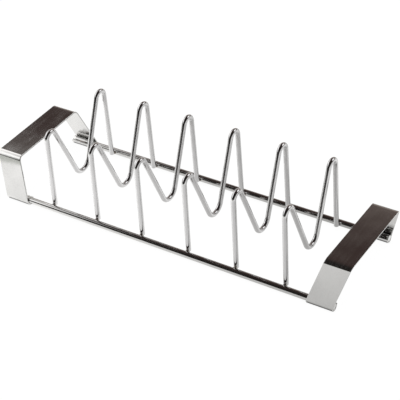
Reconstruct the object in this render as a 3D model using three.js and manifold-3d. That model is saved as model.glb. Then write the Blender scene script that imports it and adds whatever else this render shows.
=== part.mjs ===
// Toast rack of polished stainless steel: two straight rails, six M-shaped
// wire dividers welded across them, and a bent strip handle at each end whose
// curled feet hold the rails and stand on the table.
//
// Millimetres, +Z up, +X along the rails, -Y the front. The origin is on the
// table, under the middle of the rack.
import * as THREE from "three";
import { mergeVertices } from "three/addons/utils/BufferGeometryUtils.js";
import Module from "manifold-3d";

const manifold = await Module();
manifold.setup();

// ---- Driving dimensions ----------------------------------------------------

const dividerCount = 6;
const dividerPitch = 40;
const wireDiameter = 3.8;
const railDiameter = 5;
const railSpacing = 84; // centre to centre, in Y

const rackLength = 301; // over the tops of the two handles
const stripWidth = 20.5;
const stripThickness = 1;
const handleHeight = 36.6; // table to the top of the grip
const handleSplay = 17.2; // degrees the legs lean outwards along X
const legFlare = 16; // degrees the legs spread in Y on their way down
const gripBendRadius = 4; // middle of the strip
const hookPlay = 0.1; // between a rail and the curl that holds it
const lipRise = 15; // degrees the curl comes up past the rail's middle

const peakHeight = 67.4; // table to the top of a divider
const peakSpacing = 62.2; // between the centres of a divider's two top bends
const peakBendRadius = 5; // middle of the wire
const valleyHeight = 10.4; // table to the underside of the middle bend
const valleyBendRadius = 8.5; // middle of the wire
const wireToRail = 0.3; // gap that the weld fills
const footRise = 0.3; // how far a divider's foot ends above the rail's middle

const weldClearance = 0.1; // between a weld's solid and the steel it joins
const weldReach = 2.3; // how far a divider's weld spreads from the contact
const weldDepth = 1.2;
const tackRadius = 0.6;
const tackLength = 5;

// ---- Facets ----------------------------------------------------------------

const railSides = 24;
const wireSides = 12;
const wireBendSteps = 9;
const hookFacet = 15; // degrees of curl per facet
const gripBendFacets = 6;

// ---- Worked-out dimensions -------------------------------------------------

const railRadius = railDiameter / 2;
const wireRadius = wireDiameter / 2;
const hookInnerRadius = railRadius + hookPlay;
const hookOuterRadius = hookInnerRadius + stripThickness;
// One facet of the curl lies flat on the table.
const railHeight = hookOuterRadius * Math.cos(radians(hookFacet / 2));
const railY = railSpacing / 2;
const wireFootY = railY - railRadius - wireToRail - wireRadius;
const wireFootZ = railHeight + footRise;
const splaySlope = Math.tan(radians(handleSplay));
const splayStart = railHeight; // the strip is straight along X below this
const splayOffset = splaySlope * (handleHeight - splayStart);
const railLength = rackLength - 2 * splayOffset;
const handleX = railLength / 2 - stripWidth / 2; // middle of the feet

// ---- Materials -------------------------------------------------------------

const polishedStrip = new THREE.MeshStandardMaterial({
  name: "polished_strip", color: 0xc9c9c6, metalness: 1, roughness: 0.12,
});
const polishedRail = new THREE.MeshStandardMaterial({
  name: "polished_rail", color: 0xbfbfbd, metalness: 1, roughness: 0.15,
});
const polishedWire = new THREE.MeshStandardMaterial({
  name: "polished_wire", color: 0xc4c4c2, metalness: 1, roughness: 0.15,
});
const weldSteel = new THREE.MeshStandardMaterial({
  name: "weld_steel", color: 0x8f8d89, metalness: 1, roughness: 0.35,
});

// ---- Helpers ---------------------------------------------------------------

function radians(degrees) {
  return degrees * Math.PI / 180;
}

// A point at a radius and an angle in degrees from a centre.
function polar(centre, radius, degrees) {
  const angle = radians(degrees);
  return new THREE.Vector2(centre.x + radius * Math.cos(angle), centre.y + radius * Math.sin(angle));
}

// The straight line that leaves one bend and arrives at the next. A bend is a
// centre, a radius and a turn: -1 clockwise, +1 anticlockwise.
function tangentBetween(from, to) {
  const gap = to.centre.clone().sub(from.centre);
  const offset = from.turn * from.radius - to.turn * to.radius;
  const heading = gap.angle() + Math.asin(offset / gap.length());
  const left = new THREE.Vector2(-Math.sin(heading), Math.cos(heading));
  return {
    heading,
    start: from.centre.clone().addScaledVector(left, -from.turn * from.radius),
    end: to.centre.clone().addScaledVector(left, -to.turn * to.radius),
  };
}

// A wire's centre line through a row of bends, as stations of point and
// heading: two for each straight and a fixed number of steps round each bend.
function bentStations(bends, steps) {
  const lines = bends.slice(1).map((bend, i) => tangentBetween(bends[i], bend));
  const stations = [{ point: lines[0].start, heading: lines[0].heading }];
  lines.forEach((line, i) => {
    stations.push({ point: line.end, heading: line.heading });
    if (i === lines.length - 1) return;
    const { centre, radius, turn } = bends[i + 1];
    const next = lines[i + 1].heading;
    const full = 2 * Math.PI;
    const sweep = turn * ((((next - line.heading) * turn) % full + full) % full);
    for (let step = 1; step <= steps; step++) {
      const heading = line.heading + sweep * step / steps;
      const out = new THREE.Vector2(Math.sin(heading), -Math.cos(heading));
      stations.push({ point: centre.clone().addScaledVector(out, turn * radius), heading });
    }
  });
  return stations;
}

// The centre line as a curve in the YZ plane that is sampled only at its
// stations, so the straights take one step each.
class BentWireCurve extends THREE.Curve {
  constructor(stations) {
    super();
    this.stations = stations;
  }

  get spans() {
    return this.stations.length - 1;
  }

  getPoint(t) {
    const { point } = this.stations[Math.round(t * this.spans)];
    return new THREE.Vector3(0, point.x, point.y);
  }

  getTangent(t) {
    const { heading } = this.stations[Math.round(t * this.spans)];
    return new THREE.Vector3(0, Math.cos(heading), Math.sin(heading));
  }

  getPointAt(t) {
    return this.getPoint(t);
  }

  getTangentAt(t) {
    return this.getTangent(t);
  }
}

function circleShape(radius, sides) {
  const centre = new THREE.Vector2();
  const corner = (_, i) => polar(centre, radius, i * 360 / sides);
  return new THREE.Shape(Array.from({ length: sides }, corner));
}

function solidOf(geometry) {
  const bare = geometry.clone();
  bare.deleteAttribute("normal");
  bare.deleteAttribute("uv");
  const merged = mergeVertices(bare, 1e-4);
  return new manifold.Manifold(new manifold.Mesh({
    numProp: 3,
    vertProperties: merged.attributes.position.array,
    triVerts: new Uint32Array(merged.index.array),
  }));
}

function geometryOf(solid) {
  const { vertProperties, triVerts } = solid.getMesh();
  const geometry = new THREE.BufferGeometry();
  geometry.setAttribute("position", new THREE.BufferAttribute(vertProperties, 3));
  geometry.setIndex(new THREE.BufferAttribute(triVerts, 1));
  geometry.computeVertexNormals();
  return geometry;
}

function namedMesh(name, geometry, material) {
  const mesh = new THREE.Mesh(geometry, material.clone());
  mesh.name = name;
  return mesh;
}

// ---- Rails -----------------------------------------------------------------

// A straight round bar along X, of a radius that may be grown to cut a weld.
function railGeometry(radius, length) {
  const bar = new THREE.ExtrudeGeometry(circleShape(radius, railSides), {
    depth: length, bevelEnabled: false,
  });
  bar.translate(0, 0, -length / 2);
  bar.rotateY(Math.PI / 2);
  return bar;
}

function makeRail(name, side) {
  const rail = namedMesh(name, railGeometry(railRadius, railLength), polishedRail);
  rail.position.set(0, side * railY, railHeight);
  return rail;
}

// ---- Dividers --------------------------------------------------------------

// Up the front leg, over the front peak, down to the valley, and the same in
// mirror image to the rear foot.
function dividerBends() {
  const peakY = peakSpacing / 2;
  const peakZ = peakHeight - wireRadius - peakBendRadius;
  const valleyZ = valleyHeight + wireRadius + valleyBendRadius;
  const bend = (y, z, radius, turn) => ({ centre: new THREE.Vector2(y, z), radius, turn });
  return [
    bend(-wireFootY, wireFootZ, 0, 1),
    bend(-peakY, peakZ, peakBendRadius, -1),
    bend(0, valleyZ, valleyBendRadius, 1),
    bend(peakY, peakZ, peakBendRadius, -1),
    bend(wireFootY, wireFootZ, 0, 1),
  ];
}

function dividerGeometry(radius) {
  const path = new BentWireCurve(bentStations(dividerBends(), wireBendSteps));
  return new THREE.ExtrudeGeometry(circleShape(radius, wireSides), {
    steps: path.spans, extrudePath: path,
  });
}

function dividerX(index) {
  return (index - (dividerCount - 1) / 2) * dividerPitch;
}

// ---- Welds -----------------------------------------------------------------

// The bead of fused steel between a divider's foot and a rail: a flattened
// ball at the contact, less the two bars that it joins.
function footWeldGeometry(side) {
  const contactY = side * (railY - railRadius - wireToRail / 2);
  const ball = new THREE.SphereGeometry(1, 14, 9);
  ball.scale(weldReach, weldDepth, weldReach);
  ball.translate(0, contactY, railHeight);
  const rail = railGeometry(railRadius + weldClearance, 4 * weldReach);
  rail.translate(0, side * railY, railHeight);
  const wire = dividerGeometry(wireRadius + weldClearance);
  return geometryOf(solidOf(ball).subtract(solidOf(rail)).subtract(solidOf(wire)));
}

// A short tack bead in the corner between a rail and the lip that curls up
// beside it, on the rack's inner side.
function makeTack(name, end, side) {
  const bead = new THREE.CapsuleGeometry(tackRadius, tackLength, 4, 10);
  bead.rotateZ(Math.PI / 2);
  const distance = railRadius + weldClearance + tackRadius;
  const overLip = Math.asin((tackRadius + weldClearance) / distance);
  const angle = radians(lipRise) + overLip;
  const tack = namedMesh(name, bead, weldSteel);
  tack.position.set(
    end * handleX,
    side * (railY - distance * Math.cos(angle)),
    railHeight + distance * Math.sin(angle),
  );
  return tack;
}

// ---- Handles ---------------------------------------------------------------

// One half of the strip's outline in the YZ plane, at an offset from the
// strip's middle line: lip, curl under the rail, leg, bend, up to the grip.
function halfStripOutline(offset) {
  const hookCentre = new THREE.Vector2(railY, railHeight);
  const hookMiddleRadius = (hookInnerRadius + hookOuterRadius) / 2;
  const hookRadius = hookMiddleRadius + offset;
  const points = [polar(hookCentre, hookRadius, 180 - lipRise)];
  for (let angle = 180 + hookFacet / 2; angle < 360 + legFlare; angle += hookFacet) {
    points.push(polar(hookCentre, hookRadius, angle));
  }
  points.push(polar(hookCentre, hookRadius, 360 + legFlare));

  const bendRadius = gripBendRadius + offset;
  const bendZ = handleHeight - stripThickness / 2 - gripBendRadius;
  const legRun = (bendZ - railHeight) * Math.tan(radians(legFlare));
  const tangentShift = (hookMiddleRadius - gripBendRadius) / Math.cos(radians(legFlare));
  const bendY = railY - legRun + tangentShift;
  const bendCentre = new THREE.Vector2(bendY, bendZ);
  for (let facet = 0; facet <= gripBendFacets; facet++) {
    points.push(polar(bendCentre, bendRadius, legFlare + (90 - legFlare) * facet / gripBendFacets));
  }
  return points;
}

// The whole outline: the outer skin from one lip to the other, and back along
// the inner skin.
function stripShape() {
  const mirror = (points) => points.map(({ x, y }) => new THREE.Vector2(-x, y)).reverse();
  const outer = halfStripOutline(stripThickness / 2);
  const inner = halfStripOutline(-stripThickness / 2);
  const outerSkin = [...outer, ...mirror(outer)];
  const innerSkin = [...inner, ...mirror(inner)];
  return new THREE.Shape([...outerSkin, ...innerSkin.reverse()]);
}

// The strip's blank has slanted legs, so above the rails it leans outwards
// while its width stays parallel to them.
function makeHandle(name, end) {
  const strip = new THREE.ExtrudeGeometry(stripShape(), { depth: stripWidth, bevelEnabled: false });
  strip.translate(0, 0, -stripWidth / 2);
  strip.rotateX(Math.PI / 2);
  strip.rotateZ(Math.PI / 2);
  const position = strip.attributes.position;
  for (let i = 0; i < position.count; i++) {
    const rise = Math.max(0, position.getZ(i) - splayStart);
    position.setX(i, position.getX(i) + end * (handleX + splaySlope * rise));
  }
  strip.computeVertexNormals();
  return namedMesh(name, strip, polishedStrip);
}

// ---- Assembly --------------------------------------------------------------

const toastRack = new THREE.Group();
const sides = { front: -1, rear: 1 };
const ends = { left: -1, right: 1 };

for (const [sideName, side] of Object.entries(sides)) {
  toastRack.add(makeRail(`${sideName}_rail`, side));
}

const wire = dividerGeometry(wireRadius);
const footWelds = Object.entries(sides).map(([sideName, side]) => [sideName, footWeldGeometry(side)]);
for (let index = 0; index < dividerCount; index++) {
  const station = new THREE.Group();
  station.position.x = dividerX(index);
  station.add(namedMesh(`divider_${index + 1}`, wire, polishedWire));
  for (const [sideName, weld] of footWelds) {
    station.add(namedMesh(`divider_${index + 1}_${sideName}_weld`, weld, weldSteel));
  }
  toastRack.add(station);
}

for (const [endName, end] of Object.entries(ends)) {
  toastRack.add(makeHandle(`${endName}_handle`, end));
  for (const [sideName, side] of Object.entries(sides)) {
    toastRack.add(makeTack(`${endName}_handle_${sideName}_weld`, end, side));
  }
}

export default toastRack;
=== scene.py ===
"""The looks of a toast rack of polished stainless steel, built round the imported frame.

Metres, +Z up, +X along the rails, -Y the front. The origin is on the table, under the middle of the rack.
"""

import math

import bpy
import numpy as np
from mathutils import Matrix, Vector


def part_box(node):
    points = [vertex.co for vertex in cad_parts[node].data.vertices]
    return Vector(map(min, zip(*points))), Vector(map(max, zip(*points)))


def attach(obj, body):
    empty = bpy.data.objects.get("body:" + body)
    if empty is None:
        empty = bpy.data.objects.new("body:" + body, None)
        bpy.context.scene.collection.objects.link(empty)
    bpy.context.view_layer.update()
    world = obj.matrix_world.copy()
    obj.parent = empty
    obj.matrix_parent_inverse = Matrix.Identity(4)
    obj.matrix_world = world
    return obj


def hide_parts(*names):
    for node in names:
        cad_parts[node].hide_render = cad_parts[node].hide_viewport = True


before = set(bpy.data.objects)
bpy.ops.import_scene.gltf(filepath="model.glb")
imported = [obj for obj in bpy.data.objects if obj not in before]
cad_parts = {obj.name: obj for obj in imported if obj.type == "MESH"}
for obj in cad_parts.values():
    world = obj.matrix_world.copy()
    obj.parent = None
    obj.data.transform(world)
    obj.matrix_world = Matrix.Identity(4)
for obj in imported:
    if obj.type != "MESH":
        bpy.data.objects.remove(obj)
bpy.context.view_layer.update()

MM = 0.001
SIDES = {"front": -1, "rear": 1}
ENDS = {"left": -1, "right": 1}
DIVIDERS = range(1, 7)
LEFT, RIGHT = (-1.0, 0.0, 0.0), (1.0, 0.0, 0.0)
FRONT, BACK = (0.0, -1.0, 0.0), (0.0, 1.0, 0.0)
UP = (0.0, 0.0, 1.0)
BLACK = (0.0, 0.0, 0.0, 1.0)
WHITE = (1.0, 1.0, 1.0, 1.0)

# ---- Sizes that the boxes of the CAD nodes don't give ----------------------

STRIP_WIDTH = 20.5 * MM
STRIP_THICKNESS = 1.0 * MM
STRIP_EDGE_RADIUS = 0.22 * MM
LEAST_RADIUS = 0.02 * MM  # of the strip's edges, close to its tips
LEG_FLARE = 16  # degrees
GRIP_BEND_RADIUS = 4.0 * MM  # middle of the strip
LIP_RISE = 15  # degrees
SPLAY_EASE = 1.2 * MM  # half the height over which the legs start to lean

PEAK_SPACING = 62.2 * MM
PEAK_BEND_RADIUS = 5.0 * MM
VALLEY_HEIGHT = 10.4 * MM  # to the underside of the wire
VALLEY_BEND_RADIUS = 8.5 * MM
BEND_FLATTENING = 0.035  # share of the wire's thickness lost in a bend

RAIL_CHAMFER = 0.45 * MM
WIRE_CHAMFER = 0.35 * MM
TINT_REACH = 9.0 * MM  # how far from a weld the steel is tinted browner and darker
WELD_BITE = 0.05 * MM  # how far a foot weld reaches into each bar

RAIL_SIDES = 40
RAIL_STATIONS = 142
WIRE_SIDES = 32
BEAD_SIDES = 40
TACK_SIDES = 20

# ---- Boxes of the CAD nodes ------------------------------------------------


def middle(node):
    low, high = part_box(node)
    return (low + high) / 2


rail_low, rail_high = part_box("rear_rail")
RAIL_RADIUS = (rail_high.z - rail_low.z) / 2
RAIL_Y = middle("rear_rail").y
RAIL_Z = middle("rear_rail").z

wire_low, wire_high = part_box("divider_1")
WIRE_RADIUS = (wire_high.x - wire_low.x) / 2
WIRE_TOP = wire_high.z
FOOT_Y = wire_high.y - WIRE_RADIUS
FOOT_Z = wire_low.z

strip_low, strip_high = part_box("right_handle")
GRIP_TOP = strip_high.z
HANDLE_X = strip_low.x + STRIP_WIDTH / 2
SPLAY_SLOPE = (strip_high.x - strip_low.x - STRIP_WIDTH) / (GRIP_TOP - RAIL_Z)

# ---- Meshes ----------------------------------------------------------------


def rounded_rectangle(width, thickness, radius, steps=4):
    """Corners of a closed outline, with extra ones beside each rounding that keep the flats flat."""
    support = 0.35 * radius
    corners = []
    for quarter in range(4):
        angles = np.radians(90 * quarter + np.linspace(0, 90, steps + 1))
        sign = np.array(((1, 1), (-1, 1), (-1, -1), (1, -1))[quarter])
        centre = sign * (np.array((width, thickness)) / 2 - radius)
        arc = centre + radius * np.column_stack((np.cos(angles), np.sin(angles)))
        before = arc[0] - support * np.array((-np.sin(angles[0]), np.cos(angles[0])))
        after = arc[-1] + support * np.array((-np.sin(angles[-1]), np.cos(angles[-1])))
        corners.extend((before, *arc, after))
    return np.array(corners)


def unit_circle(sides):
    angles = 2 * np.pi * np.arange(sides) / sides
    return np.column_stack((np.cos(angles), np.sin(angles)))


def end_rounding(radius, steps=3):
    """(distance from the end, inset of the section) at the stations of a rounded end, tip first."""
    angles = np.linspace(np.pi / 2, 0, steps + 1)
    return [(radius * (1 - math.sin(a)), radius * (1 - math.cos(a))) for a in angles]


def sweep(points, sides, normals, sections):
    """A closed section carried along a line, with capped ends: vertices, faces and loop UVs.

    The UVs are metres along the line and round the section.
    """
    count, corners = sections.shape[:2]
    rings = points[:, None] + sections[..., :1] * sides[:, None] + sections[..., 1:] * normals[:, None]
    vertices = np.concatenate((rings.reshape(-1, 3), rings[:1].mean(1), rings[-1:].mean(1)))
    along = np.concatenate(((0,), np.cumsum(np.linalg.norm(np.diff(points, axis=0), axis=1))))
    middle_section = sections[count // 2]
    edges = np.roll(middle_section, -1, axis=0) - middle_section
    around = np.concatenate(((0,), np.cumsum(np.linalg.norm(edges, axis=1))))
    faces, uvs = [], []
    for i in range(count - 1):
        here, beyond = i * corners, (i + 1) * corners
        for j in range(corners):
            k = (j + 1) % corners
            faces.append((here + j, here + k, beyond + k, beyond + j))
            uvs.extend(((along[i], around[j]), (along[i], around[j + 1])))
            uvs.extend(((along[i + 1], around[j + 1]), (along[i + 1], around[j])))
    for ring, centre, order in ((0, len(vertices) - 2, 1), (count - 1, len(vertices) - 1, -1)):
        for j in range(corners):
            k = (j + 1) % corners
            faces.append((centre, ring * corners + k, ring * corners + j)[::order])
            uvs.extend([(along[ring], around[j])] * 3)
    return vertices, faces, uvs


def volume(vertices, faces):
    total = 0.0
    for face in faces:
        a = vertices[face[0]]
        for b, c in zip(face[1:-1], face[2:]):
            total += np.dot(a, np.cross(vertices[b], vertices[c]))
    return total / 6


def nearness_to_welds(vertices, welds):
    """How near each vertex is to the nearest of the welds, from 1 beside it to 0 at the reach."""
    nearest = np.min([np.linalg.norm(vertices - np.array(weld), axis=1) for weld in welds], axis=0)
    return np.clip(1 - nearest / TINT_REACH, 0, 1) ** 2


def piece(name, node, material, vertices, faces, uvs, sharp=40, heat=None):
    """A mesh object in place of a CAD node.

    The nearness to the welds is 0 to 1 at each vertex: how strongly the steel is tinted browner and
    darker there.
    """
    if volume(vertices, faces) < 0:
        sizes = [len(face) for face in faces]
        starts = np.concatenate(((0,), np.cumsum(sizes)))
        uvs = [uv for start, size in zip(starts, sizes) for uv in reversed(uvs[start:start + size])]
        faces = [face[::-1] for face in faces]
    mesh = bpy.data.meshes.new(name)
    mesh.from_pydata([tuple(v) for v in vertices], [], faces)
    layer = mesh.uv_layers.new(name="along")
    layer.data.foreach_set("uv", np.array(uvs, np.float32).ravel())
    tint = mesh.attributes.new("heat", "FLOAT", "POINT")
    if heat is not None:
        tint.data.foreach_set("value", np.asarray(heat, np.float32))
    mesh.polygons.foreach_set("use_smooth", [True] * len(faces))
    mesh.set_sharp_from_angle(angle=math.radians(sharp))
    mesh.materials.append(material)
    made = bpy.data.objects.new(name, mesh)
    bpy.context.scene.collection.objects.link(made)
    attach(made, "root")
    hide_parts(node)
    return made


# ---- Materials -------------------------------------------------------------


class Nodes:
    """A node tree that is filled by naming each node's kind and what goes into it."""

    def __init__(self, tree):
        self.tree = tree
        tree.nodes.clear()

    def add(self, kind, inputs=None, **settings):
        node = self.tree.nodes.new("ShaderNode" + kind)
        for key, value in settings.items():
            setattr(node, key, value)
        for key, value in (inputs or {}).items():
            if isinstance(value, bpy.types.NodeSocket):
                self.tree.links.new(value, node.inputs[key])
            else:
                node.inputs[key].default_value = value
        return node

    def noise(self, vector, scale, detail=3.0):
        return self.add("TexNoise", {"Vector": vector, "Scale": scale, "Detail": detail}).outputs["Fac"]

    def stretched_noise(self, vector, scale, detail=3.0):
        mapped = self.add("Mapping", {"Vector": vector, "Scale": scale})
        return self.noise(mapped.outputs["Vector"], 1.0, detail)

    def ranged(self, value, low, high, to_low, to_high, smooth=False):
        kind = "SMOOTHSTEP" if smooth else "LINEAR"
        node = self.add("MapRange", {
            "Value": value, "From Min": low, "From Max": high, "To Min": to_low, "To Max": to_high,
        }, interpolation_type=kind)
        return node.outputs["Result"]

    def rising(self, vector, direction, low, high, top=1.0, smooth=False):
        """From 0 to the top as the vector's reach along a direction goes from low to high."""
        reach = self.add("VectorMath", {0: vector, 1: direction}, operation="DOT_PRODUCT")
        return self.ranged(reach.outputs["Value"], low, high, 0.0, top, smooth)

    def maths(self, operation, a, b):
        return self.add("Math", {0: a, 1: b}, operation=operation).outputs["Value"]

    def times(self, a, b):
        return self.maths("MULTIPLY", a, b)

    def mix(self, factor, a, b, blend="MIX"):
        node = self.add("Mix", {0: factor, 6: a, 7: b}, data_type="RGBA", blend_type=blend)
        return node.outputs[2]

    def ramp(self, value, stops):
        node = self.add("ValToRGB", {"Fac": value})
        elements = node.color_ramp.elements
        while len(elements) < len(stops):
            elements.new(0.5)
        for element, (position, colour) in zip(elements, stops):
            element.position = position
            element.color = colour
        return node.outputs["Color"]

    def bump(self, height, distance, normal=None):
        node = self.add("Bump", {"Height": height, "Strength": 1.0, "Distance": distance})
        if normal is not None:
            self.tree.links.new(normal, node.inputs["Normal"])
        return node.outputs["Normal"]


def rgba(colour, factor=1.0):
    return (*(channel * factor for channel in colour), 1.0)


def grey(tone, tint=0.0):
    """A grey, less blue by the tint."""
    return rgba((tone, tone, tone - tint))


def new_material(name):
    """A material, its nodes and the place on the object."""
    material = bpy.data.materials.new(name)
    material.use_nodes = True
    nodes = Nodes(material.node_tree)
    return material, nodes, nodes.add("TexCoord").outputs["Object"]


def finish_material(nodes, shader):
    output = nodes.add("OutputMaterial")
    nodes.tree.links.new(shader, output.inputs["Surface"])


# Colours that multiply the steel's own, from far from the welds to beside them.
NEAR_WELD_TINTS = [
    (0.0, (1.0, 1.0, 1.0, 1.0)),
    (0.35, (0.97, 0.92, 0.84, 1.0)),
    (0.7, (0.86, 0.74, 0.62, 1.0)),
    (1.0, (0.58, 0.52, 0.52, 1.0)),
]
WELD_TINTS = [
    (0.35, (1.0, 0.96, 0.9, 1.0)),
    (0.5, (0.8, 0.7, 0.6, 1.0)),
    (0.65, (0.6, 0.62, 0.7, 1.0)),
]
STEEL_IOR = 2.5
FILM_IOR = 1.6
FILM_ROUGHNESS = 0.5
NEAR_WELD_ROUGHNESS = 0.16  # added where the steel is tinted near the welds
LINE_DEPTH = 0.0016 * MM
WELD_GRAIN_DEPTH = 0.03 * MM


def polished_steel(name, colour, roughness, haze, film, wave_scale, wave_depth):
    """Mirror-polished steel: drawn lines, slow waves, haze, a film wiped in streaks, and browner, darker
    tints near the welds.
    """
    material, nodes, place = new_material(name)
    along = nodes.add("UVMap", uv_map="along").outputs["UV"]
    heat = nodes.add("Attribute", attribute_name="heat").outputs["Fac"]

    lines = nodes.stretched_noise(along, (45, 6500, 1), 2.0)
    scuffs = nodes.stretched_noise(along, (260, 2600, 1), 4.0)
    smudges = nodes.noise(place, 85.0, 4.0)
    waves = nodes.noise(place, wave_scale, 1.0)
    mottle = nodes.noise(place, 700.0, 3.0)
    streaks = nodes.stretched_noise(along, (24, 620, 1), 4.0)

    clean = nodes.mix(nodes.ranged(smudges, 0.35, 0.7, 0.0, 1.0), rgba(colour), rgba(colour, 0.93))
    scuffed = nodes.mix(nodes.ranged(scuffs, 0.6, 0.85, 0.0, 0.35), clean, rgba(colour, 0.8))
    # Browner and darker close to the welds, by how near the steel is to them.
    warmth = nodes.times(heat, nodes.ranged(mottle, 0.3, 0.7, 0.75, 1.15))
    tinted = nodes.mix(1.0, scuffed, nodes.ramp(warmth, NEAR_WELD_TINTS), "MULTIPLY")

    rough = nodes.ranged(smudges, 0.35, 0.7, roughness, roughness + haze)
    rough = nodes.maths("ADD", rough, nodes.ranged(scuffs, 0.55, 0.85, 0.0, 0.05))
    rough = nodes.maths("ADD", rough, nodes.times(heat, NEAR_WELD_ROUGHNESS))

    smudged = nodes.ranged(smudges, 0.35, 0.7, 0.3, 1.0)
    wiped = nodes.times(smudged, nodes.ranged(streaks, 0.38, 0.62, 0.0, 1.25))
    coat = nodes.times(wiped, film)

    normal = nodes.bump(waves, wave_depth)
    normal = nodes.bump(lines, LINE_DEPTH, normal)
    shader = nodes.add("BsdfPrincipled", {
        "Base Color": tinted, "Roughness": rough, "Normal": normal, "Metallic": 1.0, "IOR": STEEL_IOR,
        "Coat Weight": coat, "Coat Roughness": FILM_ROUGHNESS, "Coat IOR": FILM_IOR,
    })
    finish_material(nodes, shader.outputs["BSDF"])
    return material


def weld_steel(name, colour, roughness):
    """A cleaned weld: duller and darker than the bars, with fine ripples and blue and brown patches."""
    material, nodes, place = new_material(name)
    grain = nodes.noise(place, 2600.0, 5.0)
    patches = nodes.noise(place, 900.0, 2.0)
    burnt = nodes.ramp(patches, WELD_TINTS)
    base = nodes.mix(1.0, rgba(colour), burnt, "MULTIPLY")
    rough = nodes.ranged(grain, 0.3, 0.7, roughness * 0.8, roughness * 1.3)
    shader = nodes.add("BsdfPrincipled", {
        "Base Color": base, "Roughness": rough, "Metallic": 1.0, "IOR": STEEL_IOR,
        "Normal": nodes.bump(grain, WELD_GRAIN_DEPTH),
    })
    finish_material(nodes, shader.outputs["BSDF"])
    return material


strip_steel = polished_steel(
    "polished_strip", colour=(0.60, 0.595, 0.585), roughness=0.035, haze=0.07, film=0.8,
    wave_scale=42.0, wave_depth=0.06 * MM,
)
rail_steel = polished_steel(
    "polished_rail", colour=(0.60, 0.595, 0.585), roughness=0.07, haze=0.04, film=0.1,
    wave_scale=60.0, wave_depth=0.02 * MM,
)
wire_steel = polished_steel(
    "polished_wire", colour=(0.62, 0.615, 0.616), roughness=0.08, haze=0.04, film=0.1,
    wave_scale=60.0, wave_depth=0.02 * MM,
)
bead_steel = weld_steel("weld_bead", colour=(0.42, 0.41, 0.40), roughness=0.34)

# ---- Rails -----------------------------------------------------------------


def make_rail(name, node):
    low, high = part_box(node)
    y, z = middle(node).yz
    rounding = end_rounding(RAIL_CHAMFER)
    xs = [low.x + depth for depth, _ in rounding]
    insets = [inset for _, inset in rounding]
    body = np.linspace(xs[-1], high.x - RAIL_CHAMFER, RAIL_STATIONS)[1:-1]
    xs = np.array([*xs, *body, *(high.x - depth for depth, _ in reversed(rounding))])
    insets = np.array([*insets, *([0.0] * len(body)), *reversed(insets)])
    points = np.column_stack((xs, np.full_like(xs, y), np.full_like(xs, z)))
    sides = np.tile(BACK, (len(xs), 1))
    normals = np.tile(UP, (len(xs), 1))
    sections = unit_circle(RAIL_SIDES)[None] * (RAIL_RADIUS - insets)[:, None, None]
    vertices, faces, uvs = sweep(points, sides, normals, sections)
    weld_y = math.copysign(RAIL_Y - RAIL_RADIUS, y)
    welds = [(middle(f"divider_{number}").x, weld_y, z) for number in DIVIDERS]
    piece(name, node, rail_steel, vertices, faces, uvs, heat=nearness_to_welds(vertices, welds))


# ---- Dividers --------------------------------------------------------------


def tangent(start, end):
    """Heading, start and end of the line that leaves one bend and arrives at the next.

    A bend is a centre, a radius and a turn: -1 clockwise, +1 anticlockwise.
    """
    (c0, r0, t0), (c1, r1, t1) = start, end
    gap = c1 - c0
    distance = np.linalg.norm(gap)
    heading = math.atan2(gap[1], gap[0]) + math.asin((t0 * r0 - t1 * r1) / distance)
    left = np.array((-math.sin(heading), math.cos(heading)))
    return heading, c0 - left * t0 * r0, c1 - left * t1 * r1


def bent_line(bends, bend_step=4.0, straight_step=4 * MM):
    """A line through a row of bends in the YZ plane: points, headings and how bent it is (0 to 1)."""
    lines = [tangent(a, b) for a, b in zip(bends, bends[1:])]
    points, headings, bent = [], [], []
    for i, (heading, start, end) in enumerate(lines):
        steps = max(2, round(np.linalg.norm(end - start) / straight_step))
        shares = np.linspace(0, 1, steps + 1)
        points.extend(start + share * (end - start) for share in shares)
        headings.extend([heading] * len(shares))
        bent.extend([0.0] * len(shares))
        if i + 1 == len(lines):
            break
        centre, radius, turn = bends[i + 1]
        sweep_angle = turn * (((lines[i + 1][0] - heading) * turn) % (2 * math.pi))
        steps = max(4, round(abs(math.degrees(sweep_angle)) / bend_step))
        for step in range(1, steps):
            angle = heading + sweep_angle * step / steps
            points.append(centre + turn * radius * np.array((math.sin(angle), -math.cos(angle))))
            headings.append(angle)
            bent.append(math.sin(math.pi * step / steps) ** 0.7)
    return np.array(points), np.array(headings), np.array(bent)


def divider_line():
    peak_z = WIRE_TOP - WIRE_RADIUS - PEAK_BEND_RADIUS
    valley_z = VALLEY_HEIGHT + WIRE_RADIUS + VALLEY_BEND_RADIUS
    return bent_line([
        (np.array((-FOOT_Y, FOOT_Z)), 0.0, 1),
        (np.array((-PEAK_SPACING / 2, peak_z)), PEAK_BEND_RADIUS, -1),
        (np.array((0.0, valley_z)), VALLEY_BEND_RADIUS, 1),
        (np.array((PEAK_SPACING / 2, peak_z)), PEAK_BEND_RADIUS, -1),
        (np.array((FOOT_Y, FOOT_Z)), 0.0, 1),
    ])


def with_rounded_ends(points, headings, bent, radius):
    """The same line with a rounded end at both tips, and the inset of the section at each station."""
    rounding = end_rounding(radius)
    way = np.column_stack((np.cos(headings), np.sin(headings)))
    first = [points[0] + depth * way[0] for depth, _ in rounding]
    last = [points[-1] - depth * way[-1] for depth, _ in reversed(rounding)]
    count = len(rounding)
    insets = [inset for _, inset in rounding]
    return (
        np.array([*first, *points[1:-1], *last]),
        np.array([*[headings[0]] * count, *headings[1:-1], *[headings[-1]] * count]),
        np.array([*[0.0] * count, *bent[1:-1], *[0.0] * count]),
        np.array([*insets, *[0.0] * (len(points) - 2), *reversed(insets)]),
    )


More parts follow.
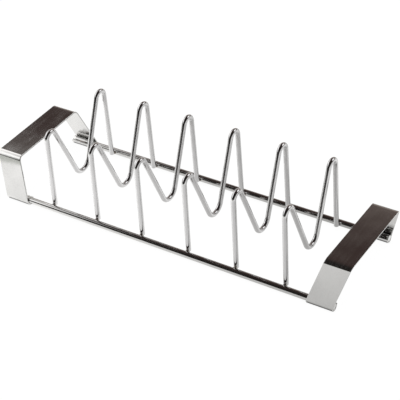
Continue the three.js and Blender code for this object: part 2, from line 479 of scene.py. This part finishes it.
def make_divider(name, node, line):
    points, headings, bent, insets = line
    x = middle(node).x
    spots = np.column_stack((np.full(len(points), x), points))
    normals = np.column_stack((np.zeros(len(points)), -np.sin(headings), np.cos(headings)))
    sides = np.tile(RIGHT, (len(points), 1))
    sections = unit_circle(WIRE_SIDES)[None] * (WIRE_RADIUS - insets)[:, None, None]
    sections[..., 1] *= 1 - BEND_FLATTENING * bent[:, None]
    vertices, faces, uvs = sweep(spots, sides, normals, sections)
    welds = [(x, side * (RAIL_Y - RAIL_RADIUS), RAIL_Z) for side in SIDES.values()]
    piece(name, node, wire_steel, vertices, faces, uvs, heat=nearness_to_welds(vertices, welds))


# ---- Handles ---------------------------------------------------------------


def arc(centre, radius, start, end, step=3.0):
    """Points and outward directions round an arc in the YZ plane, angles in degrees."""
    steps = max(2, math.ceil(abs(end - start) / step))
    angles = np.radians(np.linspace(start, end, steps + 1))
    out = np.column_stack((np.cos(angles), np.sin(angles)))
    return np.asarray(centre) + radius * out, out


def straight(start, end, out, settle=0.3 * MM, step=4 * MM):
    """Points along a flat. The first and last are close to its ends, to keep its shading flat."""
    length = np.linalg.norm(end - start)
    steps = max(1, round((length - 2 * settle) / step))
    shares = np.linspace(settle / length, 1 - settle / length, steps + 1)
    return start + shares[:, None] * (end - start), np.tile(out, (len(shares), 1))


def strip_line():
    """A handle's middle line from the rear lip over the grip to the front lip, and the way outwards."""
    curl_radius = RAIL_Z - STRIP_THICKNESS / 2
    flare = math.radians(LEG_FLARE)
    bend_z = GRIP_TOP - STRIP_THICKNESS / 2 - GRIP_BEND_RADIUS
    shift = (curl_radius - GRIP_BEND_RADIUS) / math.cos(flare)
    bend_y = RAIL_Y - (bend_z - RAIL_Z) * math.tan(flare) + shift
    curl = arc((RAIL_Y, RAIL_Z), curl_radius, 180 - LIP_RISE, 360 + LEG_FLARE, 5.0)
    bend = arc((bend_y, bend_z), GRIP_BEND_RADIUS, LEG_FLARE, 90)
    leg = straight(curl[0][-1], bend[0][0], curl[1][-1])
    grip = straight(bend[0][-1], bend[0][-1] * (-1, 1), bend[1][-1])
    half = [np.concatenate(parts) for parts in zip(curl, leg, bend)]
    mirrored = [part[::-1] * (-1, 1) for part in half]
    return [np.concatenate(parts) for parts in zip(half, grip, mirrored)]


def splayed(vertices, end):
    """Leans a handle's legs outwards above the rails, easing into the lean."""
    above = vertices[:, 2] - RAIL_Z
    eased = (above + SPLAY_EASE) ** 2 / (4 * SPLAY_EASE)
    rise = np.where(above > SPLAY_EASE, above, np.where(above > -SPLAY_EASE, eased, 0.0))
    moved = vertices.copy()
    moved[:, 0] += end * (HANDLE_X + SPLAY_SLOPE * rise)
    return moved


def make_handle(name, node, end, line):
    points, out = line
    rounding = end_rounding(STRIP_EDGE_RADIUS)
    count = len(rounding)
    inward = [np.array((-out[i][1], out[i][0])) for i in (0, -1)]
    first = [points[0] + depth * inward[0] for depth, _ in rounding]
    last = [points[-1] - depth * inward[1] for depth, _ in reversed(rounding)]
    spots = np.array([*first, *points[1:-1], *last])
    outward = np.array([*[out[0]] * count, *out[1:-1], *[out[-1]] * count])
    insets = [inset for _, inset in rounding]
    insets = [*insets, *[0.0] * (len(points) - 2), *reversed(insets)]
    sections = np.array([
        rounded_rectangle(
            STRIP_WIDTH - 2 * inset,
            STRIP_THICKNESS - 2 * inset,
            max(STRIP_EDGE_RADIUS - inset, LEAST_RADIUS),
        )
        for inset in insets
    ])
    spots = np.column_stack((np.zeros(len(spots)), spots))
    outward = np.column_stack((np.zeros(len(outward)), outward))
    sides = np.tile(RIGHT, (len(spots), 1))
    vertices, faces, uvs = sweep(spots, sides, outward, sections)
    vertices = splayed(vertices, end)
    piece(name, node, strip_steel, vertices, faces, uvs)


# ---- Welds -----------------------------------------------------------------


def make_foot_weld(name, node, x, side, random):
    """The fused collar at a divider's foot: from an ellipse on the wire to an ellipse on the rail."""
    corners, bands = BEAD_SIDES, 9
    around = 2 * np.pi * np.arange(corners) / corners
    wire_reach, wire_up, wire_down = 1.62 * MM, 2.15 * MM, 0.15 * MM
    rail_reach, rail_up, rail_down = 2.2 * MM, 1.6 * MM, 1.1 * MM
    on_wire = np.column_stack((
        wire_reach * np.cos(around), np.where(np.sin(around) > 0, wire_up, wire_down) * np.sin(around),
    ))
    on_rail = np.column_stack((
        rail_reach * np.cos(around), np.where(np.sin(around) > 0, rail_up, rail_down) * np.sin(around),
    ))
    wire_y = FOOT_Y + np.sqrt(WIRE_RADIUS ** 2 - on_wire[:, 0] ** 2) - WELD_BITE
    rail_y = RAIL_Y - np.sqrt(RAIL_RADIUS ** 2 - on_rail[:, 1] ** 2) + WELD_BITE
    skew = random.uniform(-0.12, 0.12, 2)
    phases = random.uniform(0, 2 * np.pi, 3)
    ripple = 0.035 * np.sin(5 * around + phases[0]) + 0.025 * np.sin(9 * around + phases[1])
    rings = []
    for share in np.linspace(0, 1, bands):
        pinch = 1 - 0.14 * math.sin(math.pi * share) + ripple * math.sin(math.pi * share)
        pinch = pinch + 0.02 * math.sin(7 * math.pi * share + phases[2])
        flat = (on_wire + share * (on_rail - on_wire)) * pinch[:, None]
        flat[:, 0] += skew[0] * MM * share
        y = wire_y + share * (rail_y - wire_y)
        rings.append(np.column_stack((x + flat[:, 0], side * y, RAIL_Z + flat[:, 1])))
    rings = np.array(rings)
    centres = np.array(((x, side * FOOT_Y, RAIL_Z), (x, side * RAIL_Y, RAIL_Z)))
    vertices = np.concatenate((rings.reshape(-1, 3), centres))
    faces = []
    for here in range(0, (bands - 1) * corners, corners):
        beyond = here + corners
        for j in range(corners):
            k = (j + 1) % corners
            faces.append((here + j, here + k, beyond + k, beyond + j))
    last = (bands - 1) * corners
    faces += [(len(vertices) - 2, (j + 1) % corners, j) for j in range(corners)]
    faces += [(len(vertices) - 1, last + j, last + (j + 1) % corners) for j in range(corners)]
    uvs = [(0.0, 0.0)] * sum(len(face) for face in faces)
    piece(name, node, bead_steel, vertices, faces, uvs, sharp=60)


def make_tack(name, node, random):
    """A short bead of overlapping ripples in the corner between a rail and the lip of a handle."""
    low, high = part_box(node)
    centre = (low + high) / 2
    half, radius = (high.x - low.x) / 2, (high.z - low.z) / 2
    shares = np.sin(np.linspace(-np.pi / 2, np.pi / 2, 61))
    xs = centre.x + half * shares
    envelope = np.sqrt(np.maximum(1 - np.abs(shares) ** 5, 0.0))
    pulses = np.abs(np.sin(np.pi * (shares + 1) * 4.5 + random.uniform(0, np.pi))) ** 0.6
    radii = radius * envelope * (0.86 + 0.13 * pulses)
    radii[[0, -1]] = 0.04 * radius
    points = np.column_stack((xs, np.full_like(xs, centre.y), np.full_like(xs, centre.z)))
    sides = np.tile(BACK, (len(xs), 1))
    normals = np.tile(UP, (len(xs), 1))
    sections = unit_circle(TACK_SIDES)[None] * radii[:, None, None]
    vertices, faces, uvs = sweep(points, sides, normals, sections)
    piece(name, node, bead_steel, vertices, faces, uvs, sharp=70)


# ---- The rack --------------------------------------------------------------

for side_name in SIDES:
    make_rail(f"rail_{side_name}", f"{side_name}_rail")

divider = with_rounded_ends(*divider_line(), WIRE_CHAMFER)
for number in DIVIDERS:
    make_divider(f"wire_divider_{number}", f"divider_{number}", divider)

strip = strip_line()
for end_name, end in ENDS.items():
    make_handle(f"strip_handle_{end_name}", f"{end_name}_handle", end, strip)

for number in DIVIDERS:
    for side_name, side in SIDES.items():
        node = f"divider_{number}_{side_name}_weld"
        random = np.random.default_rng(100 * number + side)
        make_foot_weld(f"weld_divider_{number}_{side_name}", node, middle(node).x, side, random)
for end_name, end in ENDS.items():
    for side_name, side in SIDES.items():
        node = f"{end_name}_handle_{side_name}_weld"
        random = np.random.default_rng(1000 + 10 * end + side)
        make_tack(f"tack_{end_name}_{side_name}", node, random)

# ---- Table -----------------------------------------------------------------

ONE_FACE = [(0, 1, 2, 3)]
STAGE_HALF = 5.0
BACKDROP_HEIGHT = 4.0
BACKDROP_RADIANCE = 0.95
SEEN_TABLE_RADIANCE = 0.96
MIRRORED_TABLE_RADIANCE = 1.42
MIRRORED_TABLE_DEPTH = 0.1 * MM  # under the seen table

# The mirrored table's painted light from left to right, about 0.2 m to each side of the middle.
TABLE_LIGHT_LEVELS = ((0.0, 0.87), (0.17, 0.76), (0.31, 0.65), (0.5, 0.53), (0.75, 0.39), (1.0, 0.31))
TABLE_TINT = 0.005


def stage_mesh(name, corners, faces, material, seen, mirrored):
    """Part of the studio: either what the camera sees, or what the steel mirrors and is lit by."""
    mesh = bpy.data.meshes.new(name)
    mesh.from_pydata(corners, [], faces)
    mesh.materials.append(material)
    made = bpy.data.objects.new(name, mesh)
    bpy.context.scene.collection.objects.link(made)
    made.visible_camera = seen
    made.visible_glossy = mirrored
    return made


def level_plane(half, z):
    return [(-half, -half, z), (half, -half, z), (half, half, z), (-half, half, z)]


def seen_table_material():
    """Pale translucent sheet lit from below as well as from above, so that shadows on it stay faint."""
    material, nodes, place = new_material("table_sheet")
    grain = nodes.noise(place, 400.0, 4.0)
    shader = nodes.add("BsdfPrincipled", {
        "Base Color": grey(0.035), "Roughness": 0.9, "Normal": nodes.bump(grain, 0.02 * MM),
        "Specular IOR Level": 0.0, "Emission Color": WHITE, "Emission Strength": SEEN_TABLE_RADIANCE,
    })
    finish_material(nodes, shader.outputs["BSDF"])
    return material


def distance_from_lines(nodes, value, centre):
    """How far a value is from plus or minus the centre, whichever is nearer."""
    size = nodes.maths("ABSOLUTE", value, 0.0)
    return nodes.maths("ABSOLUTE", nodes.maths("SUBTRACT", size, centre), 0.0)


def mirrored_table_material():
    """The same table as the steel mirrors it: a glowing satin sheet with painted light, brightest on the
    left.

    It is painted lighter in front and far to the right, and where the right handle's rear leg throws
    light on it.
    It has a painted contact shadow where the handles' curls touch it, and a greyer floor lies beyond its
    edge.
    """
    material, nodes, place = new_material("mirrored_sheet")
    # Painted light: the glowing table is brightest on the left, and lighter in front, far to the right
    # and where the right handle's rear leg throws light.
    rightward = nodes.rising(place, (0.85, 0.35, 0.0), -0.2, 0.2)
    tone = nodes.ramp(rightward, [(stop, grey(level, TABLE_TINT)) for stop, level in TABLE_LIGHT_LEVELS])
    tone = nodes.mix(nodes.rising(place, FRONT, 0.03, 0.06, top=0.24), tone, WHITE)
    beyond = nodes.rising(place, (-0.594, -0.805, 0.0), 0.295, 0.307)
    tone = nodes.mix(beyond, tone, rgba((0.455, 0.47, 0.44)))
    far_right = nodes.rising(place, RIGHT, 0.18, 0.26, top=0.5)
    tone = nodes.mix(far_right, tone, grey(0.87, TABLE_TINT))
    painted_thrown_light = nodes.times(
        nodes.rising(place, RIGHT, 0.112, 0.122),
        nodes.rising(place, BACK, 0.005, 0.02),
    )
    tone = nodes.mix(painted_thrown_light, tone, grey(0.60, TABLE_TINT))

    # Painted contact shadow: the table is darkened where the handles' curls touch it.
    axes = nodes.add("SeparateXYZ", {"Vector": place}).outputs
    from_handle = distance_from_lines(nodes, axes["X"], HANDLE_X)
    from_rail = distance_from_lines(nodes, axes["Y"], RAIL_Y)
    painted_contact_shadow = nodes.times(
        nodes.ranged(from_handle, STRIP_WIDTH / 2, STRIP_WIDTH / 2 + 1.0 * MM, 1.0, 0.0),
        nodes.ranged(from_rail, 3.5 * MM, 7.5 * MM, 1.0, 0.0),
    )
    tone = nodes.mix(painted_contact_shadow, tone, grey(0.08))

    glow = nodes.add("Emission", {"Color": tone, "Strength": MIRRORED_TABLE_RADIANCE})
    satin = nodes.add("BsdfGlossy", {"Color": grey(0.30), "Roughness": 0.35})
    both = nodes.add("AddShader", {0: glow.outputs["Emission"], 1: satin.outputs["BSDF"]})
    finish_material(nodes, both.outputs["Shader"])
    return material


def backdrop_material():
    material, nodes, _ = new_material("backdrop_paper")
    shader = nodes.add("Emission", {"Color": WHITE, "Strength": BACKDROP_RADIANCE})
    finish_material(nodes, shader.outputs["Emission"])
    return material


table = stage_mesh(
    "table", level_plane(STAGE_HALF, 0.0), ONE_FACE,
    seen_table_material(), seen=True, mirrored=False,
)
table.visible_shadow = False
mirrored_table = stage_mesh(
    "mirrored_table", level_plane(STAGE_HALF, -MIRRORED_TABLE_DEPTH), ONE_FACE,
    mirrored_table_material(), seen=False, mirrored=True,
)
mirrored_table.visible_diffuse = False
backdrop = stage_mesh(
    "backdrop", level_plane(STAGE_HALF, 0.0) + level_plane(STAGE_HALF, BACKDROP_HEIGHT),
    [(i, (i + 1) % 4, 4 + (i + 1) % 4, 4 + i) for i in range(4)],
    backdrop_material(), seen=True, mirrored=False,
)
backdrop.visible_diffuse = False
backdrop.visible_shadow = False

# ---- Light -----------------------------------------------------------------

OVERHEAD_SIZE = 3.6
OVERHEAD_HEIGHT = 1.7
OVERHEAD_RADIANCE = 3.0
SOFTBOX_HEIGHT = 1.05
SOFTBOX_RADIANCE = 1.7
SOFTBOX_CORNERS = ((-0.66, 1.3), (-3.6, 1.3), (-3.6, -4.0), (-0.66, -4.0))


def make_overhead():
    """A broad soft panel that lights the table and isn't mirrored."""
    light = bpy.data.lights.new("overhead", "AREA")
    light.shape = "SQUARE"
    light.size = OVERHEAD_SIZE
    light.energy = OVERHEAD_RADIANCE * math.pi * OVERHEAD_SIZE ** 2
    made = bpy.data.objects.new("overhead", light)
    made.location = (0.0, 0.0, OVERHEAD_HEIGHT)
    made.visible_glossy = False
    made.visible_camera = False
    bpy.context.scene.collection.objects.link(made)


def softbox_material():
    """Bright inside three soft edges: on the right, slanting at the front right, and at the back."""
    material, nodes, place = new_material("softbox")
    to_right = nodes.rising(place, LEFT, 0.66, 0.92)
    to_front_right = nodes.rising(place, (-0.83, 0.56, 0.0), 0.19, 0.36)
    to_back = nodes.rising(place, FRONT, -1.30, -0.85)
    side = nodes.ramp(nodes.maths("MINIMUM", to_right, to_front_right), [
        (0.0, BLACK), (0.25, grey(0.10)), (0.65, grey(0.5)), (1.0, WHITE),
    ])
    back = nodes.ramp(to_back, [
        (0.0, BLACK), (0.35, grey(0.004)), (0.55, grey(0.075, 0.003)), (1.0, WHITE),
    ])
    tone = nodes.mix(1.0, side, back, "MULTIPLY")
    lamp = nodes.add("Emission", {"Color": tone, "Strength": SOFTBOX_RADIANCE})
    clear = nodes.add("BsdfTransparent", {"Color": WHITE})
    shader = nodes.add("AddShader", {0: lamp.outputs["Emission"], 1: clear.outputs["BSDF"]})
    finish_material(nodes, shader.outputs["Shader"])
    return material


make_overhead()
softbox = stage_mesh(
    "left_softbox", [(x, y, SOFTBOX_HEIGHT) for x, y in SOFTBOX_CORNERS], ONE_FACE,
    softbox_material(), seen=False, mirrored=True,
)
softbox.visible_diffuse = False
softbox.visible_shadow = False


def make_world():
    """A dark room above a bright horizon, warmer towards the back.

    It has a glow at the back, a high window at the back right and soft low light from the right.
    """
    world = bpy.data.worlds.new("room")
    world.use_nodes = True
    nodes = Nodes(world.node_tree)
    direction = nodes.add("TexCoord").outputs["Generated"]
    backward = (-0.30, 0.954, 0.0)
    warm = nodes.rising(direction, backward, -0.5, 0.6, smooth=True)
    glow = nodes.rising(direction, backward, 0.77, 0.82, smooth=True)
    low_right = nodes.rising(direction, (1.0, 0.0, -0.8), 0.42, 0.90, smooth=True)
    window = nodes.rising(direction, (0.42, 0.68, 0.60), 0.91, 0.975, smooth=True)
    above_horizon = nodes.rising(direction, UP, -0.02, 0.05, smooth=True)
    room = nodes.mix(warm, rgba((0.022, 0.019, 0.018)), rgba((0.066, 0.046, 0.042)))
    room = nodes.mix(glow, room, rgba((0.31, 0.26, 0.235)))
    room = nodes.mix(low_right, room, grey(1.0, 0.01))
    room = nodes.mix(window, room, grey(1.5))
    room = nodes.mix(above_horizon, grey(1.15, 0.01), room)
    background = nodes.add("Background", {"Color": room, "Strength": 1.0})
    output = nodes.add("OutputWorld")
    nodes.tree.links.new(background.outputs["Background"], output.inputs["Surface"])
    return world


bpy.context.scene.world = make_world()

# ---- Camera ----------------------------------------------------------------

CAMERA_AZIMUTH = 34.86  # degrees round from the front
CAMERA_ELEVATION = 36.52
CAMERA_ROLL = -4.40
CAMERA_DISTANCE = 1.001
CAMERA_TARGET = Vector((0.00763, -0.00044, 0.0202))
SENSOR_WIDTH = 36.0
LENS = 123.1


def make_camera():
    azimuth = math.radians(CAMERA_AZIMUTH)
    elevation = math.radians(CAMERA_ELEVATION)
    roll = math.radians(CAMERA_ROLL)
    level = Vector((math.cos(azimuth), math.sin(azimuth), 0))
    back = Vector((math.sin(azimuth), -math.cos(azimuth), 0)) * math.cos(elevation)
    back.z = math.sin(elevation)
    upright = back.cross(level)
    right = math.cos(roll) * level + math.sin(roll) * upright
    up = back.cross(right)
    camera = bpy.data.objects.new("camera", bpy.data.cameras.new("camera"))
    camera.data.sensor_width = SENSOR_WIDTH
    camera.data.lens = LENS
    camera.data.clip_start, camera.data.clip_end = 0.01, 100.0
    turn = Matrix((right, up, back)).transposed()
    camera.matrix_world = Matrix.Translation(CAMERA_TARGET + back * CAMERA_DISTANCE) @ turn.to_4x4()
    bpy.context.scene.collection.objects.link(camera)
    return camera


bpy.context.scene.camera = make_camera()
bpy.context.scene.view_settings.view_transform = "Standard"
